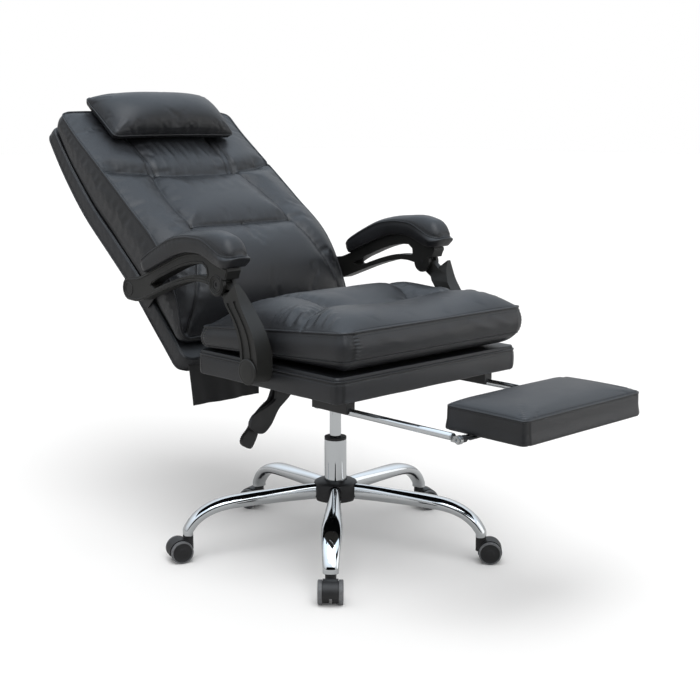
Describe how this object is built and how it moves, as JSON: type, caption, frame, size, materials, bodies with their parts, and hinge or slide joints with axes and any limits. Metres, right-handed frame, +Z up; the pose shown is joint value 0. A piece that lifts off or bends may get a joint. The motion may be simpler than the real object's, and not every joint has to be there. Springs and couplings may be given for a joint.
{
  "type": "reclining office chair",
  "caption": "Padded office chair with a reclining back, linked armrests, a fold-away footrest and a five-star base on casters.",
  "frame": {"origin": "on the floor under the gas column", "axes": "+Z up, the chair faces -Y, the sitter's right side is -X; shown fully reclined with the footrest out"},
  "size_m": [0.7431, 1.445, 1.0305],
  "materials": {
    "leather": "smooth bonded leather with a soft sheen",
    "lining_fabric": "woven lining",
    "chrome": "polished",
    "bright_steel": "zinc plated",
    "black_steel": "powder coated",
    "black_plastic": "moulded, satin",
    "wheel_plastic": "moulded, grey",
    "plywood": "raw"
  },
  "bodies": {
    "base": {"base_hub": "bright_steel", "base_arm_1": "chrome", "base_arm_2": "chrome", "base_arm_3": "chrome", "base_arm_4": "chrome", "base_arm_5": "chrome", "hub_cover": "black_plastic", "column_tube": "chrome", "column_collar": "black_plastic", "gas_rod": "bright_steel", "caster_sockets": "black_plastic"},
    "lift": {"gas_cylinder": "chrome"},
    "seat": {"mechanism_plate": "black_steel", "mechanism_socket": "black_steel", "seat_screws": "bright_steel", "seat_board": "plywood", "seat_base": "leather", "seat_cushion": "leather", "support_brackets": "bright_steel", "recline_pin": "bright_steel", "footrest_guides": "black_steel"},
    "height_lever": {"height_lever": "black_plastic"},
    "recline_lever": {"recline_lever": "black_plastic"},
    "back": {"back_bar": "black_steel", "back_board": "plywood", "back_shell": "leather", "back_cushion": "leather", "head_pillow": "leather", "rear_flap": "lining_fabric", "armrest_studs": "black_steel"},
    "support_r": {"arm_support_r": "black_plastic", "support_cap_r": "black_plastic"},
    "support_l": {"arm_support_l": "black_plastic", "support_cap_l": "black_plastic"},
    "armrest_r": {"arm_frame_r": "black_plastic", "arm_pad_r": "leather", "arm_pin_r": "bright_steel"},
    "armrest_l": {"arm_frame_l": "black_plastic", "arm_pad_l": "leather", "arm_pin_l": "bright_steel"},
    "footrest_frame": {"footrest_rods": "chrome", "footrest_knuckles": "bright_steel"},
    "footrest_pad": {"footrest_bar": "black_steel", "footrest_board": "plywood", "footrest_pad": "leather"},
    "caster_1": {"caster_hood_1": "black_plastic"},
    "wheel_1a": {"caster_wheel_1a": "wheel_plastic"},
    "wheel_1b": {"caster_wheel_1b": "wheel_plastic"},
    "caster_2": {"caster_hood_2": "black_plastic"},
    "wheel_2a": {"caster_wheel_2a": "wheel_plastic"},
    "wheel_2b": {"caster_wheel_2b": "wheel_plastic"},
    "caster_3": {"caster_hood_3": "black_plastic"},
    "wheel_3a": {"caster_wheel_3a": "wheel_plastic"},
    "wheel_3b": {"caster_wheel_3b": "wheel_plastic"},
    "caster_4": {"caster_hood_4": "black_plastic"},
    "wheel_4a": {"caster_wheel_4a": "wheel_plastic"},
    "wheel_4b": {"caster_wheel_4b": "wheel_plastic"},
    "caster_5": {"caster_hood_5": "black_plastic"},
    "wheel_5a": {"caster_wheel_5a": "wheel_plastic"},
    "wheel_5b": {"caster_wheel_5b": "wheel_plastic"}
  },
  "joints": [
    {"name": "seat_height", "type": "slide", "parent": "base", "child": "lift", "axis": [0, 0, 1], "range_m": [-0.08, 0.02]},
    {"name": "seat_swivel", "type": "hinge", "parent": "lift", "child": "seat", "pos_m": [0, 0, 0.36], "axis": [0, 0, 1], "continuous": true},
    {"name": "recline", "type": "hinge", "parent": "seat", "child": "back", "pos_m": [0, 0.19, 0.43], "axis": [1, 0, 0], "range_deg": [0, 38]},
    {"name": "support_r", "type": "hinge", "parent": "seat", "child": "support_r", "pos_m": [-0.307, -0.091, 0.463], "axis": [1, 0, 0], "range_deg": [0, 40]},
    {"name": "armrest_r", "type": "hinge", "parent": "support_r", "child": "armrest_r", "pos_m": [-0.307, 0.01, 0.63], "axis": [1, 0, 0], "range_deg": [-36, 0]},
    {"name": "support_l", "type": "hinge", "parent": "seat", "child": "support_l", "pos_m": [0.307, -0.091, 0.463], "axis": [1, 0, 0], "range_deg": [0, 40]},
    {"name": "armrest_l", "type": "hinge", "parent": "support_l", "child": "armrest_l", "pos_m": [0.307, 0.01, 0.63], "axis": [1, 0, 0], "range_deg": [-36, 0]},
    {"name": "footrest_slide", "type": "slide", "parent": "seat", "child": "footrest_frame", "axis": [0, 1, 0], "range_m": [0, 0.17]},
    {"name": "footrest_flip", "type": "hinge", "parent": "footrest_frame", "child": "footrest_pad", "pos_m": [0, -0.55537, 0.389], "axis": [1, 0, 0], "range_deg": [-180, 0]},
    {"name": "height_lever", "type": "hinge", "parent": "seat", "child": "height_lever", "pos_m": [-0.076, 0.028, 0.4007], "axis": [0, 1, 0], "range_deg": [0, 9]},
    {"name": "recline_lever", "type": "hinge", "parent": "seat", "child": "recline_lever", "pos_m": [-0.076, 0.046, 0.4007], "axis": [0, 1, 0], "range_deg": [0, 9]},
    {"name": "caster_swivel_1", "type": "hinge", "parent": "base", "child": "caster_1", "pos_m": [-0.23965, -0.24259, 0.057], "axis": [0, 0, 1], "continuous": true},
    {"name": "wheel_spin_1a", "type": "hinge", "parent": "caster_1", "child": "wheel_1a", "pos_m": [-0.25354, -0.25698, 0.025], "axis": [0.7193, -0.6947, 0], "continuous": true},
    {"name": "wheel_spin_1b", "type": "hinge", "parent": "caster_1", "child": "wheel_1b", "pos_m": [-0.25354, -0.25698, 0.025], "axis": [0.7193, -0.6947, 0], "continuous": true},
    {"name": "caster_swivel_2", "type": "hinge", "parent": "base", "child": "caster_2", "pos_m": [0.15666, -0.30288, 0.057], "axis": [0, 0, 1], "continuous": true},
    {"name": "wheel_spin_2a", "type": "hinge", "parent": "caster_2", "child": "wheel_2a", "pos_m": [0.17005, -0.31774, 0.025], "axis": [0.7431, 0.6691, 0], "continuous": true},
    {"name": "wheel_spin_2b", "type": "hinge", "parent": "caster_2", "child": "wheel_2b", "pos_m": [0.17005, -0.31774, 0.025], "axis": [0.7431, 0.6691, 0], "continuous": true},
    {"name": "caster_swivel_3", "type": "hinge", "parent": "base", "child": "caster_3", "pos_m": [0.33647, 0.0554, 0.057], "axis": [0, 0, 1], "continuous": true},
    {"name": "wheel_spin_3a", "type": "hinge", "parent": "caster_3", "child": "wheel_3a", "pos_m": [0.35474, 0.04727, 0.025], "axis": [0.4067, 0.9135, 0], "continuous": true},
    {"name": "wheel_spin_3b", "type": "hinge", "parent": "caster_3", "child": "wheel_3b", "pos_m": [0.35474, 0.04727, 0.025], "axis": [0.4067, 0.9135, 0], "continuous": true},
    {"name": "caster_swivel_4", "type": "hinge", "parent": "base", "child": "caster_4", "pos_m": [0.05129, 0.33712, 0.057], "axis": [0, 0, 1], "continuous": true},
    {"name": "wheel_spin_4a", "type": "hinge", "parent": "caster_4", "child": "wheel_4a", "pos_m": [0.0451, 0.35614, 0.025], "axis": [-0.9511, -0.309, 0], "continuous": true},
    {"name": "wheel_spin_4b", "type": "hinge", "parent": "caster_4", "child": "wheel_4b", "pos_m": [0.0451, 0.35614, 0.025], "axis": [-0.9511, -0.309, 0], "continuous": true},
    {"name": "caster_swivel_5", "type": "hinge", "parent": "base", "child": "caster_5", "pos_m": [-0.30477, 0.15295, 0.057], "axis": [0, 0, 1], "continuous": true},
    {"name": "wheel_spin_5a", "type": "hinge", "parent": "caster_5", "child": "wheel_5a", "pos_m": [-0.32357, 0.15979, 0.025], "axis": [-0.342, -0.9397, 0], "continuous": true},
    {"name": "wheel_spin_5b", "type": "hinge", "parent": "caster_5", "child": "wheel_5b", "pos_m": [-0.32357, 0.15979, 0.025], "axis": [-0.342, -0.9397, 0], "continuous": true}
  ],
  "couplings": [
    {"joint": "support_r", "follows": "recline", "ratio": 1.0423},
    {"joint": "armrest_r", "follows": "recline", "ratio": -0.9326},
    {"joint": "support_l", "follows": "recline", "ratio": 1.0423},
    {"joint": "armrest_l", "follows": "recline", "ratio": -0.9326}
  ]
}
